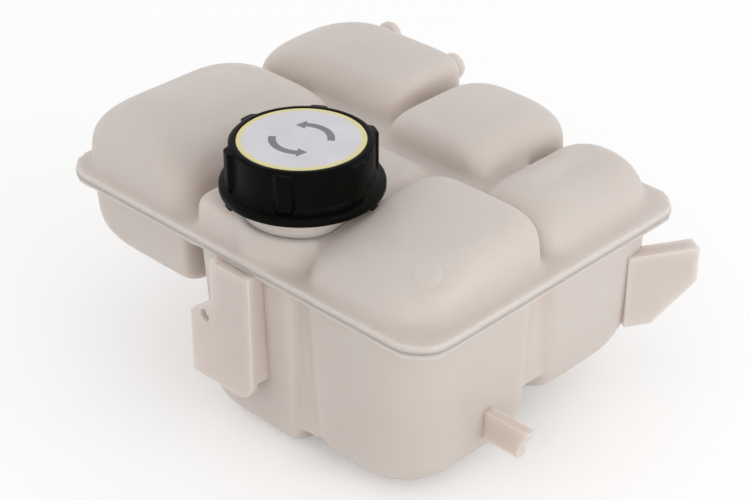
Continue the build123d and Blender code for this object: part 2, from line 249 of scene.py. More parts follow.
def level(lobe, z, draft, wall):
    """Outline of a lobe at a height: each side leans in and turns over its own shoulder."""
    height = lobe.height - wall
    inset = []
    for shoulder in lobe.shoulders:
        radius = min(max(shoulder - wall, 1.0), height)
        over = min(max(z - (height - radius), 0.0), radius)
        inset.append(wall + z * draft + radius - (radius * radius - over * over) ** 0.5)
    left, right, front, back = inset
    turns = ((right, front), (right, back), (left, back), (left, front))
    radii = [corner - wall + (one + other - 2 * wall) / 4
             for corner, (one, other) in zip(lobe.corners, turns)]
    return outline(shrunk(lobe.plan, *inset), radii)


def pillow(name, lobe, settings, side, wall=0.0):
    """Lobe on one side of the weld: drafted walls, round shoulders and a crown that may lean to the back."""
    draft = tan(settings.draft)
    height = lobe.height - wall
    middle = (lobe.plan.front + lobe.plan.back) / 2
    reach = (lobe.plan.back - lobe.plan.front) / 2
    rings = [ring_at(level(lobe, 0.0, draft, wall), -PAST_WELD)]
    steps = 24
    for step in range(steps + 1):
        z = height * sin(pi / 2 * step / steps)
        rings.append(ring_at(level(lobe, z, draft, wall), z))
    top = level(lobe, height, draft, wall)
    centre = top.mean(axis=0)
    for share in (0.85, 0.7, 0.55, 0.4, 0.25, 0.1):
        rings.append(ring_at(centre + (top - centre) * share, height + lobe.crown * (1 - share * share)))
    for ring in rings[1:]:
        ring[:, 2] *= 1 + lobe.lean * (ring[:, 1] - middle) / reach
    for ring in rings:
        ring[:, 2] *= side
    return loft(name, rings)


def prism(name, flat, place, depth):
    """Solid from a flat outline, with place turning each point and the depth into millimetres."""
    rings = [np.array([place(u, v, side) for u, v in flat]) for side in (0.0, depth)]
    return loft(name, rings)


def turned_faces(steps, count):
    """Faces of a ring-shaped solid whose closed profile of count points stands at each step."""
    faces = []
    for step in range(steps):
        here, there = step * count, (step + 1) % steps * count
        for i in range(count):
            j = (i + 1) % count
            faces.append((here + i, there + i, there + j, here + j))
    return faces


def turned(name, profile, place, steps=96):
    """Closed ring-shaped solid turned from a closed profile of radius and height."""
    points = []
    for step in range(steps):
        angle = TAU * step / steps
        points += [place(radius * cos(angle), radius * sin(angle), along) for radius, along in profile]
    return new_object(name, points, turned_faces(steps, len(profile)))


def rod(name, radius, low, high, place, steps=96):
    """Round bar, as for a drill."""
    return turned(name, [(AXIS, low), (radius, low), (radius, high), (AXIS, high)], place, steps)


def apply_modifiers(piece):
    """Bake a piece's modifiers into its mesh."""
    graph = bpy.context.evaluated_depsgraph_get()
    graph.update()
    baked = bpy.data.meshes.new_from_object(piece.evaluated_get(graph))
    piece.modifiers.clear()
    old = piece.data
    piece.data = baked
    bpy.data.meshes.remove(old)


def join(name, solids):
    """One object that holds the faces of several overlapping solids."""
    points, faces, start = [], [], 0
    for solid in solids:
        points += [tuple(vertex.co) for vertex in solid.data.vertices]
        faces += [[start + i for i in polygon.vertices] for polygon in solid.data.polygons]
        start = len(points)
        bpy.data.objects.remove(solid)
    return add_object(name, points, faces)


def melt(name, solids, grid, softness, keep):
    """Merge overlapping solids into one soft skin; keep gives the share of smoothing at each point."""
    piece = join(name, solids)
    remesh = piece.modifiers.new("grid", "REMESH")
    remesh.mode = "VOXEL"
    remesh.voxel_size = grid
    apply_modifiers(piece)
    count = len(piece.data.vertices)
    where = np.empty(count * 3)
    piece.data.vertices.foreach_get("co", where)
    where = (where.reshape(-1, 3) - np.array(WELD_CENTRE)) / MM
    share = keep(where)
    group = piece.vertex_groups.new(name="soft")
    for tenth in range(11):
        chosen = np.nonzero(np.round(share * 10).astype(int) == tenth)[0]
        if len(chosen):
            group.add(chosen.tolist(), tenth / 10, "REPLACE")
    if softness:
        smooth = piece.modifiers.new("soft", "SMOOTH")
        smooth.factor = 0.5
        smooth.iterations = softness
        smooth.vertex_group = group.name
    ease = piece.modifiers.new("ease", "SMOOTH")
    ease.factor = 0.5
    ease.iterations = 3
    apply_modifiers(piece)
    piece.vertex_groups.clear()
    return piece


def combine(piece, solid, operation):
    """Add a solid to a piece, or take it away."""
    boolean = piece.modifiers.new("solid", "BOOLEAN")
    boolean.operation = operation
    boolean.solver = "MANIFOLD"
    boolean.object = solid
    apply_modifiers(piece)
    if not len(piece.data.polygons):
        raise RuntimeError(f"{piece.name}: {solid.name} could not be combined with it")
    bpy.data.objects.remove(solid)


def shade_smooth(piece, angle=40):
    """Smooth shading up to an angle."""
    piece.data.shade_smooth()
    piece.data.set_sharp_from_angle(angle=radians(angle))


def finish_piece(piece, body, slot, material, *nodes):
    """Ride a finished piece on its body in place of the solids that it stands for."""
    piece.data.materials.clear()
    piece.data.materials.append(material)
    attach(piece, body)
    if nodes:
        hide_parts(*nodes)


def upright(u, v, along):
    """Place of a turned profile about Z at the cap's axis."""
    return (CAP_X + u, CAP_Y + v, along)


def rearward(x, y, z):
    """Place of a turned profile along +Y."""
    return lambda u, v, along: (x + u, y + along, z - v)


def slab(name, low, high):
    """Plain block between two corners."""
    (x0, y0, z0), (x1, y1, z1) = low, high
    flat = np.array([(x0, y0), (x1, y0), (x1, y1), (x0, y1)], float)
    return loft(name, [ring_at(flat, z0), ring_at(flat, z1)])


def beyond_weld(name, side):
    """Block that trims a moulding at the weld plane, over it or under it."""
    low, high = sorted((0.0, 20.0 * side))
    return slab(name, (-130.0, -110.0, low), (130.0, 110.0, high))


def flange_plate(name, inset, low, high):
    """Half of the weld flange."""
    long, wide = FLANGE_LENGTH / 2 - inset, FLANGE_WIDTH / 2 - inset
    flat = outline(Plan(-long, long, -wide, wide), (FLANGE_CORNER - inset,) * 4)
    return loft(name, [ring_at(flat, low), ring_at(flat, high)])


def saddle(name, wall=0.0):
    """Low block in the middle of the upper moulding, across the valleys."""
    corners, lean = (6.0,) * 4, 1.0
    foot = outline(shrunk(SADDLE, *(wall,) * 4), corners)
    top = outline(shrunk(SADDLE, *(wall + lean,) * 4), corners)
    return loft(name, [ring_at(foot, -PAST_WELD), ring_at(top, SADDLE_HEIGHT - wall)])


def thread_ridge(name):
    """Screw ridge that climbs round the filler neck."""
    root, crest = 23.6, 25.2
    profile = [(root, -1.3), (NECK_RADIUS, -1.3), (crest, -0.5), (crest, 0.5), (NECK_RADIUS, 1.3),
               (root, 1.3)]
    steps, turns, pitch, start = 72, 1.75, 5.0, 30.8
    rings = []
    for step in range(int(steps * turns) + 1):
        angle = TAU * step / steps
        climb = start + pitch * step / steps
        rings.append(np.array([upright(radius * cos(angle), radius * sin(angle), climb + along)
                               for radius, along in profile]))
    return loft(name, rings)


def rim_keep(where):
    """Full smoothing inside the flange, none along its rim, and a share of it between them."""
    rim, ease = 2.0, 4.0
    across = np.maximum(np.abs(where[:, 0]) - FLANGE_LENGTH / 2, np.abs(where[:, 1]) - FLANGE_WIDTH / 2)
    return np.clip((-across - rim) / ease, 0.0, 1.0)


def spigot_profile(spigot):
    """Closed profile of a hose spigot with a rounded bead, from its root to its mouth."""
    radius, bead, bore, reach, root = spigot
    land = reach - 4.0
    return [(bore, root), (radius, root), (radius, land - 0.8), (radius + 0.3, land - 0.2),
            (bead - 0.4, land), (bead, land + 0.5), (bead, reach - 1.4), (bead - 0.4, reach - 0.5),
            (bead - 1.0, reach), (bore + 0.5, reach), (bore, reach - 0.5)]


def add_spigot(piece, spigot, x, z, steps):
    """Drill a moulding's back wall and set a hose spigot round the hole."""
    place = rearward(x, BACK, z)
    combine(piece, rod("drill", spigot.bore, -14.0, spigot.reach + 1.0, place), "DIFFERENCE")
    combine(piece, turned("spigot", spigot_profile(spigot), place, steps), "UNION")


class TANK_OT_upper_moulding(bpy.types.Operator):
    """Build the upper moulding: soft lobes, the socket of the filler neck and two hose nipples"""
    bl_idname = "tank.upper_moulding"
    bl_label = "Upper moulding"

    def execute(self, context):
        settings = context.scene.tank_moulding
        wall = settings.wall / MM
        outer = [flange_plate("flange", UPPER_INSET, -PAST_WELD, FLANGE_HALF), saddle("saddle")]
        inner = [saddle("passage", wall)]
        for name, lobe in DOMES.items():
            outer.append(pillow(name, lobe, settings, 1))
            inner.append(pillow(name + "_hollow", lobe, settings, 1, wall))
        outer.append(self.collar())
        # The hidden inside takes a coarser grid
        piece = melt("upper_moulding", outer, settings.grid, settings.softness, rim_keep)
        hollow = melt("upper_hollow", inner, settings.grid * 1.6, settings.softness, rim_keep)
        combine(piece, hollow, "DIFFERENCE")
        combine(piece, beyond_weld("under_weld", -1), "DIFFERENCE")
        combine(piece, rod("socket", SOCKET_RADIUS, NECK_FOOT, NECK_TOP, upright, 160), "DIFFERENCE")
        combine(piece, self.gate_mark(piece, settings.gate_radius / MM), "UNION")
        for x, z in NIPPLE_PLACES:
            add_spigot(piece, NIPPLE, x, z, 64)
        shade_smooth(piece)
        plastic = milky_plastic("Upper milky plastic", context)
        finish_piece(piece, "tank", "milky_plastic", plastic, "upper_shell")
        return {"FINISHED"}

    def collar(self):
        """Low cone round the neck's socket, so that the lobe's wall stays closed there."""
        foot, top = 2.0, DOMES["neck"].height
        return turned("collar", [(AXIS, foot), (28.0, foot), (27.0, top), (AXIS, top)], upright)

    def gate_mark(self, piece, radius):
        """Low round mark on the right front lobe, flush with its slope."""
        above = WELD_CENTRE + Vector((86.0, -56.5, 60.0)) * MM
        hit, place, normal, _ = piece.ray_cast(above, Vector((0.0, 0.0, -1.0)))
        if not hit:
            raise RuntimeError("the gate mark found no lobe under it")
        middle = (place - WELD_CENTRE) / MM
        side = normal.orthogonal().normalized()
        other = normal.cross(side)
        profile = [(AXIS, -1.2), (radius, -1.2), (radius, 0.05), (radius - 0.8, 0.2), (AXIS, 0.2)]

        def on_slope(u, v, along):
            return middle + side * u + other * v + normal * along

        return turned("gate_mark", profile, on_slope, 48)


class TANK_OT_filler_neck(bpy.types.Operator):
    """Build the filler neck: a tube in the lobe's socket, with the screw ridge that the cap turns on"""
    bl_idname = "tank.filler_neck"
    bl_label = "Filler neck"

    def execute(self, context):
        profile = [(NECK_BORE, NECK_FOOT), (NECK_RADIUS, NECK_FOOT), (NECK_RADIUS, NECK_TOP - 0.8),
                   (NECK_RADIUS - 0.6, NECK_TOP), (NECK_BORE + 0.4, NECK_TOP), (NECK_BORE, NECK_TOP - 0.4)]
        neck = turned("filler_neck", profile, upright, 160)
        combine(neck, thread_ridge("thread"), "UNION")
        shade_smooth(neck)
        plastic = milky_plastic("Neck milky plastic", context)
        finish_piece(neck, "tank", "milky_plastic", plastic, "neck_tube")
        return {"FINISHED"}


class TANK_OT_lower_moulding(bpy.types.Operator):
    """Build the lower moulding: deep bowls, the lugs, the side hook and the outlet spigot"""
    bl_idname = "tank.lower_moulding"
    bl_label = "Lower moulding"

    def execute(self, context):
        settings = context.scene.tank_moulding
        wall = settings.wall / MM
        outer = [flange_plate("flange", LOWER_INSET, -FLANGE_HALF, PAST_WELD)]
        outer += [slab("bowl_web", low, high) for low, high in BOWL_WEBS]
        inner = []
        for name, lobe in BOWLS.items():
            outer.append(pillow(name, lobe, settings, -1))
            inner.append(pillow(name + "_hollow", lobe, settings, -1, wall))
        # The larger lower moulding takes a coarser grid, and its hidden inside a coarser one still
        piece = melt("lower_moulding", outer, settings.grid * 1.15, settings.softness // 2, rim_keep)
        hollow = melt("lower_hollow", inner, settings.grid * 1.8, settings.softness // 2, rim_keep)
        for solid in (*self.front_lug(), self.rear_lug(), self.side_hook()):
            combine(piece, solid, "UNION")
        combine(piece, hollow, "DIFFERENCE")
        combine(piece, beyond_weld("over_weld", 1), "DIFFERENCE")
        add_spigot(piece, OUTLET, *OUTLET_PLACE, 96)
        shade_smooth(piece)
        plastic = milky_plastic("Lower milky plastic", context)
        finish_piece(piece, "tank", "milky_plastic", plastic, "lower_shell")
        return {"FINISHED"}

    def front_lug(self):
        """Solids of the front lug: its plate, the two webs behind it and the roof between them."""
        half, inset = LUG_PLATE / 2, 0.2
        low = (LUG_LEFT + inset, LUG_FACE + inset, -6.0)
        high = (LUG_RIGHT - inset, -70.0, -2.6)
        webs = (self.front_web(LUG_LEFT + half, -60.5), self.front_web(LUG_RIGHT - half, -52.5))
        return (self.front_plate(), *webs, slab("front_roof", low, high))

    def front_plate(self):
        """Eared plate in front of the neck bowl, with a rounded foot and its screw hole."""
        radius, ear, top = 9.0, -20.0, -3.2
        foot = [(LUG_RIGHT - radius + radius * sin(turn), LUG_FOOT + radius - radius * cos(turn))
                for turn in np.linspace(0, pi / 2, 9)]
        flat = [(ear, LUG_FOOT), *foot, (LUG_RIGHT, top), (LUG_LEFT, top), (LUG_LEFT, -21.0), (ear, -31.0)]
        plate = prism("front_plate", flat, lambda u, v, along: (u, LUG_FACE + along, v), LUG_PLATE)
        place = rearward(-11.5, LUG_FACE + LUG_PLATE / 2, -30.5)
        combine(plate, rod("screw_hole", 2.8, -6.0, 6.0, place, 48), "DIFFERENCE")
        return plate

    def front_web(self, x, foot):
        """Web that carries the front lug on the bowl."""
        front, back, top = LUG_FACE + 0.5, -66.0, -2.0
        flat = [(front, foot), (back, foot), (back, top), (front, top)]
        return prism("front_web", flat, lambda u, v, along: (x - LUG_PLATE / 2 + along, u, v), LUG_PLATE)

    def rear_lug(self):
        """Channel that points out of the right back corner, open underneath."""
        reach, drop, width, wall, inside = 25.5, 34.0, 8.4, 2.4, -6.0
        turn = radians(30)
        along_x, along_y = sin(turn), cos(turn)

        def place(u, v, side):
            return (93.0 + u * along_x + side * along_y, 64.0 + u * along_y - side * along_x, -18.0 + v)

        flat = [(inside, 0.0), (reach, 0.0), (reach, -16.0), (6.0, -drop), (inside, -drop)]
        body = prism("rear_lug", flat, place, width)
        end, open_foot = reach - wall, -drop - 6.0
        hollow = [(-2.0, -wall), (end, -wall), (end, open_foot), (-2.0, open_foot)]
        pocket = prism("rear_pocket", hollow, lambda u, v, side: place(u, v, side + wall), width - 2 * wall)
        combine(body, pocket, "DIFFERENCE")
        return body

    def side_hook(self):
        """Upright hooked tab on the right wall."""
        inside, top, foot, neck, width, y = 85.0, -51.0, -64.5, 113.4, 4.5, -30.0
        flat = [(inside, top), (118.0, top), (115.7, -55.6), (neck, -60.2), (neck, foot), (inside, foot)]
        return prism("side_hook", flat, lambda u, v, along: (u, y - width / 2 + along, v), width)


class TANK_OT_screw_cap(bpy.types.Operator):
    """Build the screw cap: ribbed grip, flared skirt and a shallow seat for the disc"""
    bl_idname = "tank.screw_cap"
    bl_label = "Screw cap"

    def execute(self, context):
        settings = context.scene.tank_cap
        proud = settings.rib_proud / MM
        seat = settings.disc_radius / MM + 0.2
        bottom = (CAP_LOW.z - WELD_CENTRE.z) / MM + STOP_DROP
        profile = self.profile(bottom, seat)
        steps = 432
        points = []
        for step in range(steps):
            angle = TAU * step / steps
            rib = self.rib_share(angle, settings.ribs)
            for z, radius, share in profile:
                crest = GRIP_RADIUS + proud * rib * share if share else 0.0
                reach = max(radius, crest)
                points.append((CAP_X + reach * cos(angle), CAP_Y + reach * sin(angle), z))
        cap = new_object("screw_cap", points, turned_faces(steps, len(profile)))
        for stop in range(3):
            combine(cap, self.stop(radians(14.4 + 120 * stop), bottom), "UNION")
        shade_smooth(cap, 50)
        plastic = black_plastic("Cap black plastic", context)
        finish_piece(cap, "cap", "black_plastic", plastic, "cap_cover")
        return {"FINISHED"}

    def profile(self, bottom, seat):
        """Closed profile of the cap: height, radius of the plain grip, and share of the ribs there."""
        # Heights over the skirt's foot: its rolled edge, its flare and the lower grip
        skirt = [(0.5, 32.5, 0.0), (0.15, 32.85, 0.0), (0.6, SKIRT_RADIUS, 0.0), (2.4, SKIRT_RADIUS, 0.0),
                 (3.0, 32.8, 0.0), (3.4, 32.2, 0.1), (3.7, 31.0, 0.4), (4.1, 29.8, 0.8), (4.8, 29.0, 1.0),
                 (6.0, 28.65, 1.0), (10.0, GRIP_RADIUS, 1.0)]
        # Depths under the top: the ends of the ribs, the rim, the disc's seat and the roof of the bore
        crown = [(2.6, GRIP_RADIUS, 1.0), (1.5, GRIP_RADIUS, 1.0), (1.1, 28.55, 0.94), (0.9, 28.5, 0.82),
                 (0.8, 28.45, 0.5), (0.75, 28.4, 0.1), (0.4, 28.1, 0.0), (0.15, 27.7, 0.0), (0.0, 27.2, 0.0),
                 (0.0, seat + 0.35, 0.0), (0.08, seat + 0.1, 0.0), (0.3, seat, 0.0), (0.4, seat - 0.3, 0.0),
                 (0.4, 12.0, 0.0), (0.4, 0.05, 0.0), (2.2, 0.05, 0.0), (2.2, 24.9, 0.0), (2.9, CAP_BORE, 0.0)]
        # Heights over the skirt's foot again: the mouth of the bore
        mouth = [(1.2, CAP_BORE, 0.0), (0.4, 26.2, 0.0)]
        points = [(bottom + up, radius, share) for up, radius, share in skirt]
        points += [(CAP_TOP - down, radius, share) for down, radius, share in crown]
        points += [(bottom + up, radius, share) for up, radius, share in mouth]
        return points

    def rib_share(self, angle, ribs):
        """How much of a full rib stands at an angle: a flat crest between two ramps."""
        first, arm, half_foot, run = radians(2.4), 30.0, 5.0, 2.6
        pitch = TAU / ribs
        off = abs((angle - first + pitch / 2) % pitch - pitch / 2) * arm
        ramp = min(max((half_foot - off) / run, 0.0), 1.0)
        return ramp * ramp * (3 - 2 * ramp)

    def stop(self, angle, bottom):
        """Small stop under the skirt."""
        inner, outer, half, height = 30.9, 32.9, 2.0, 2.6
        turn_x, turn_y = cos(angle), sin(angle)
        flat = [(inner, -half), (outer, -half), (outer, half), (inner, half)]

        def place(u, v, along):
            return upright(u * turn_x - v * turn_y, u * turn_y + v * turn_x, bottom - STOP_DROP + along)

        return prism("stop", flat, place, height)


class TANK_OT_cap_disc(bpy.types.Operator):
    """Build the thin printed disc in the cap's seat"""
    bl_idname = "tank.cap_disc"
    bl_label = "Cap disc"

    def execute(self, context):
        radius = context.scene.tank_cap.disc_radius / MM
        floor = CAP_TOP - 0.38
        face = CAP_TOP - DISC_DEPTH
        edge = 0.12
        profile = [(AXIS, floor), (radius, floor), (radius, face - edge), (radius - edge, face),
                   (radius * 0.5, face), (AXIS, face)]
        disc = turned("cap_disc", profile, upright, 128)
        shade_smooth(disc, 30)
        finish_piece(disc, "cap", "black_plastic", printed_disc("Printed disc", context))
        arrows = join("turn_arrows", [self.arrow(radians(35)), self.arrow(radians(215))])
        ink = plain_finish("Grey print", (0.22, 0.22, 0.23, 1.0), roughness=0.5, metallic=0.0, size=900.0)
        finish_piece(arrows, "cap", "black_plastic", ink)
        return {"FINISHED"}

    def arrow(self, start):
        """Plain curved arrow that shows the way to turn the cap."""
        inner, outer, barb, sweep, head, steps = 10.0, 13.0, 1.8, radians(92), radians(20), 16
        turns = [start + sweep * step / steps for step in range(steps + 1)]
        middle = (inner + outer) / 2
        flat = [(outer, turn) for turn in turns]
        flat += [(outer + barb, turns[-1]), (middle, turns[-1] + head), (inner - barb, turns[-1])]
        flat += [(inner, turn) for turn in reversed(turns)]
        sunk = CAP_TOP - DISC_DEPTH - 0.02
        return prism("arrow", [(radius * cos(turn), radius * sin(turn)) for radius, turn in flat],
                     lambda u, v, along: upright(u, v, sunk + along), 0.06)


class TANK_OT_valve_finishes(bpy.types.Operator):
    """Give the valve parts inside the cap their finishes"""
    bl_idname = "tank.valve_finishes"
    bl_label = "Valve finishes"

    def execute(self, context):
        black = black_plastic("Housing black plastic", context)
        rubber = plain_finish("Seal rubber", (0.02, 0.02, 0.02, 1.0), roughness=0.75, metallic=0.0,
                              size=900.0)
        steel = plain_finish("Plate steel", (0.55, 0.55, 0.54, 1.0), roughness=0.32, metallic=1.0,
                             size=500.0)
        brass = plain_finish("Poppet brass", (0.66, 0.47, 0.20, 1.0), roughness=0.35, metallic=1.0,
                             size=500.0)
        finishes = {"valve_housing": black, "neck_gasket": rubber, "pressure_seal": rubber,
                    "pressure_plate": steel, "spring_retainer": steel, "vacuum_valve": brass}
        for node, material in finishes.items():
            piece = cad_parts[node]
            piece.data.materials.clear()
            piece.data.materials.append(material)
        return {"FINISHED"}


class TANK_OT_valve_springs(bpy.types.Operator):
    """Wind the two valve springs"""
    bl_idname = "tank.valve_springs"
    bl_label = "Valve springs"

    def execute(self, context):
        steel = plain_finish("Spring steel", (0.50, 0.50, 0.49, 1.0), roughness=0.28, metallic=1.0,
                             size=500.0)
        self.spring("over_pressure_coil", "pressure_spring", turns=4.0, wire=1.6, upper_body="valve_insert",
                    lower_body="pressure_valve", steel=steel)
        self.spring("vacuum_coil", "vacuum_spring", turns=2.5, wire=0.6, upper_body="vacuum_valve",
                    lower_body="pressure_valve", steel=steel)
        return {"FINISHED"}

    def spring(self, name, node, turns, wire, upper_body, lower_body, steel):
        """Round wire wound as high as the spring's solid; upper_body and lower_body are not used."""
        low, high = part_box(node)
        foot, top = ((corner.z - WELD_CENTRE.z) / MM for corner in (low, high))
        radius = ((high.x - low.x) / MM - wire) / 2
        steps, sides = 48, 12
        rings = []
        for step in range(int(turns * steps) + 1):
            angle = TAU * step / steps
            climb = foot + wire / 2 + (top - foot - wire) * step / (turns * steps)
            around = [(radius + wire / 2 * cos(turn), climb + wire / 2 * sin(turn))
                      for turn in np.linspace(0, TAU, sides, endpoint=False)]
            rings.append(np.array([upright(reach * cos(angle), reach * sin(angle), z)
                                   for reach, z in around]))
        coil = loft(name, rings)
        shade_smooth(coil)
        coil.data.materials.append(steel)
        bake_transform(coil)
        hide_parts(node)


class TANK_OT_stage(bpy.types.Operator):
    """Set the pale floor, the soft light and the camera"""
    bl_idname = "tank.stage"
    bl_label = "Stage"

    def execute(self, context):
        scene = context.scene
        scene.view_settings.view_transform = "Standard"
        half = 4.0
        corners = [(-half, -half, 0), (half, -half, 0), (half, half, 0), (-half, half, 0)]
        floor = add_object("floor", corners, [(0, 1, 2, 3)])
        floor.location.z = -0.5 * MM
        floor.data.materials.append(floor_paint())
        self.world(scene)
        self.lamp("right_light", (1.5, 0.1, 0.45), 1.2, 4.5)
        self.lamp("low_light", (1.0, -1.2, 0.12), 1.0, 2.5)
        data = bpy.data.cameras.new("camera")
        data.lens = 91.3
        data.sensor_width = 36.0
        data.clip_start = 0.05
        camera = bpy.data.objects.new("camera", data)
        scene.collection.objects.link(camera)
        eye = Vector((480.95, -504.11, 478.91)) * MM
        target = Vector((5.12, -14.69, 60.87)) * MM
        camera.location = eye
        camera.rotation_euler = (target - eye).to_track_quat("-Z", "Y").to_euler()
        scene.camera = camera
        return {"FINISHED"}

    def lamp(self, name, place, size, power):
        """Large soft lamp that looks at the tank."""
        data = bpy.data.lights.new(name, "AREA")
        data.shape = "DISK"
        data.size = size
        data.energy = power
        lamp = bpy.data.objects.new(name, data)
        lamp.location = place
        lamp.rotation_euler = (Vector((0, 0, 0.05)) - Vector(place)).to_track_quat("-Z", "Y").to_euler()
        bpy.context.scene.collection.objects.link(lamp)

    def world(self, scene):
        """White surroundings, a little dimmer as light than as seen."""
        world = bpy.data.worlds.new("White surroundings")
        world.use_nodes = True
        nodes, links = world.node_tree.nodes, world.node_tree.links
        light = nodes["Background"]
        light.inputs["Color"].default_value = (1.0, 1.0, 1.0, 1.0)
        light.inputs["Strength"].default_value = 0.79
        seen = nodes.new("ShaderNodeBackground")
        seen.inputs["Color"].default_value = (1.0, 1.0, 1.0, 1.0)
        seen.inputs["Strength"].default_value = 1.0
        mix = nodes.new("ShaderNodeMixShader")
        links.new(seen_directly(nodes, links), mix.inputs["Fac"])
        links.new(light.outputs["Background"], mix.inputs[1])
        links.new(seen.outputs["Background"], mix.inputs[2])
        links.new(mix.outputs["Shader"], nodes["World Output"].inputs["Surface"])
        scene.world = world


# Materials

def new_group(name, inputs, outputs):
    """Empty shader node group with named sockets."""
    group = bpy.data.node_groups.new(name, "ShaderNodeTree")
    for label, kind, value in inputs:
        socket = group.interface.new_socket(name=label, in_out="INPUT", socket_type=kind)
        socket.default_value = value
    for label, kind in outputs:
        group.interface.new_socket(name=label, in_out="OUTPUT", socket_type=kind)
    source = group.nodes.new("NodeGroupInput")
    sink = group.nodes.new("NodeGroupOutput")
    return group, source, sink


def grain_group():
    """Fine moulded grain and low waves as one height."""
    if "Moulded grain" in bpy.data.node_groups:
        return bpy.data.node_groups["Moulded grain"]
    group, source, sink = new_group("Moulded grain", [("Grain size", "NodeSocketFloat", 900.0),
                                                      ("Wave share", "NodeSocketFloat", 0.5)],
                                    [("Height", "NodeSocketFloat"), ("Mask", "NodeSocketFloat")])
    nodes, links = group.nodes, group.links
    place = nodes.new("ShaderNodeTexCoord")
    fine = nodes.new("ShaderNodeTexNoise")
    fine.inputs["Detail"].default_value = 3.0
    wave = nodes.new("ShaderNodeTexNoise")
    wave.inputs["Scale"].default_value = 38.0
    wave.inputs["Detail"].default_value = 2.0
    links.new(place.outputs["Object"], fine.inputs["Vector"])
    links.new(place.outputs["Object"], wave.inputs["Vector"])
    links.new(source.outputs["Grain size"], fine.inputs["Scale"])
    scaled = nodes.new("ShaderNodeMath")
    scaled.operation = "MULTIPLY"
    links.new(wave.outputs["Fac"], scaled.inputs[0])
    links.new(source.outputs["Wave share"], scaled.inputs[1])
    total = nodes.new("ShaderNodeMath")
    total.operation = "ADD"
    links.new(fine.outputs["Fac"], total.inputs[0])
    links.new(scaled.outputs["Value"], total.inputs[1])
    links.new(total.outputs["Value"], sink.inputs["Height"])
    links.new(wave.outputs["Fac"], sink.inputs["Mask"])
    return group


def cloud_group():
    """Soft clouds between two colours, as in a milky moulding."""
    if "Milky clouds" in bpy.data.node_groups:
        return bpy.data.node_groups["Milky clouds"]
    group, source, sink = new_group("Milky clouds", [("Clear", "NodeSocketColor", (0.6, 0.6, 0.6, 1.0)),
                                                     ("Cloudy", "NodeSocketColor", (0.5, 0.5, 0.5, 1.0)),
                                                     ("Cloud size", "NodeSocketFloat", 14.0)],
                                    [("Color", "NodeSocketColor")])
    nodes, links = group.nodes, group.links
    place = nodes.new("ShaderNodeTexCoord")
    cloud = nodes.new("ShaderNodeTexNoise")
    cloud.inputs["Detail"].default_value = 3.0
    cloud.inputs["Roughness"].default_value = 0.45
    links.new(place.outputs["Object"], cloud.inputs["Vector"])
    links.new(source.outputs["Cloud size"], cloud.inputs["Scale"])
    spread = nodes.new("ShaderNodeMapRange")
    spread.inputs["From Min"].default_value = 0.35
    spread.inputs["From Max"].default_value = 0.65
    links.new(cloud.outputs["Fac"], spread.inputs["Value"])
    mix = nodes.new("ShaderNodeMix")
    mix.data_type = "RGBA"
    links.new(spread.outputs["Result"], mix.inputs["Factor"])
    links.new(source.outputs["Clear"], mix.inputs[6])
    links.new(source.outputs["Cloudy"], mix.inputs[7])
    links.new(mix.outputs[2], sink.inputs["Color"])
    return group


def place_group(material, group, **values):
    """Node group placed in a material with its own values."""
    node = material.node_tree.nodes.new("ShaderNodeGroup")
    node.node_tree = group
    for label, value in values.items():
        node.inputs[label.replace("_", " ")].default_value = value
    return node


def new_material(name):
    """Material with its Principled shader."""
    material = bpy.data.materials.new(name)
    material.use_nodes = True
    return material, material.node_tree.nodes["Principled BSDF"]


def add_grain(material, shader, size, waves, height, low, high):
    """Bump from the shared grain, and uneven gloss with its roughness between low and high."""
    nodes, links = material.node_tree.nodes, material.node_tree.links
    grain = place_group(material, grain_group(), Grain_size=size, Wave_share=waves)
    bump = nodes.new("ShaderNodeBump")
    bump.inputs["Strength"].default_value = 0.5
    bump.inputs["Distance"].default_value = height
    links.new(grain.outputs["Height"], bump.inputs["Height"])
    links.new(bump.outputs["Normal"], shader.inputs["Normal"])
    gloss = nodes.new("ShaderNodeMapRange")
    gloss.inputs["From Min"].default_value = 0.3
    gloss.inputs["From Max"].default_value = 0.7
    gloss.inputs["To Min"].default_value = low
    gloss.inputs["To Max"].default_value = high
    links.new(grain.outputs["Mask"], gloss.inputs["Value"])
    links.new(gloss.outputs["Result"], shader.inputs["Roughness"])


def scaled_colour(colour, share):
    """Colour with its three channels scaled."""
    return tuple(share * value for value in colour[:3]) + (1.0,)


def milky_plastic(name, context):
    """Milky polypropylene that lets light soak through its wall."""
    colours = context.scene.tank_colours
    material, shader = new_material(name)
    clouds = place_group(material, cloud_group(), Clear=colours.milky, Cloudy=colours.cloudy,
                         Cloud_size=14.0)
    material.node_tree.links.new(clouds.outputs["Color"], shader.inputs["Base Color"])
    shader.inputs["IOR"].default_value = 1.49
    shader.inputs["Subsurface Weight"].default_value = 1.0
    shader.inputs["Subsurface Radius"].default_value = (1.0, 1.0, 1.0)
    shader.inputs["Subsurface Scale"].default_value = 0.007
    add_grain(material, shader, size=700.0, waves=1.5, height=0.12 * MM, low=0.36, high=0.5)
    return material


def black_plastic(name, context):
    """Black satin nylon."""
    material, shader = new_material(name)
    black = context.scene.tank_colours.black
    dull = scaled_colour(black, 2.2)
    clouds = place_group(material, cloud_group(), Clear=black, Cloudy=dull, Cloud_size=120.0)
    material.node_tree.links.new(clouds.outputs["Color"], shader.inputs["Base Color"])
    shader.inputs["IOR"].default_value = 1.5
    shader.inputs["Specular IOR Level"].default_value = 0.05
    add_grain(material, shader, size=1600.0, waves=0.3, height=0.06 * MM, low=0.34, high=0.46)
    return material


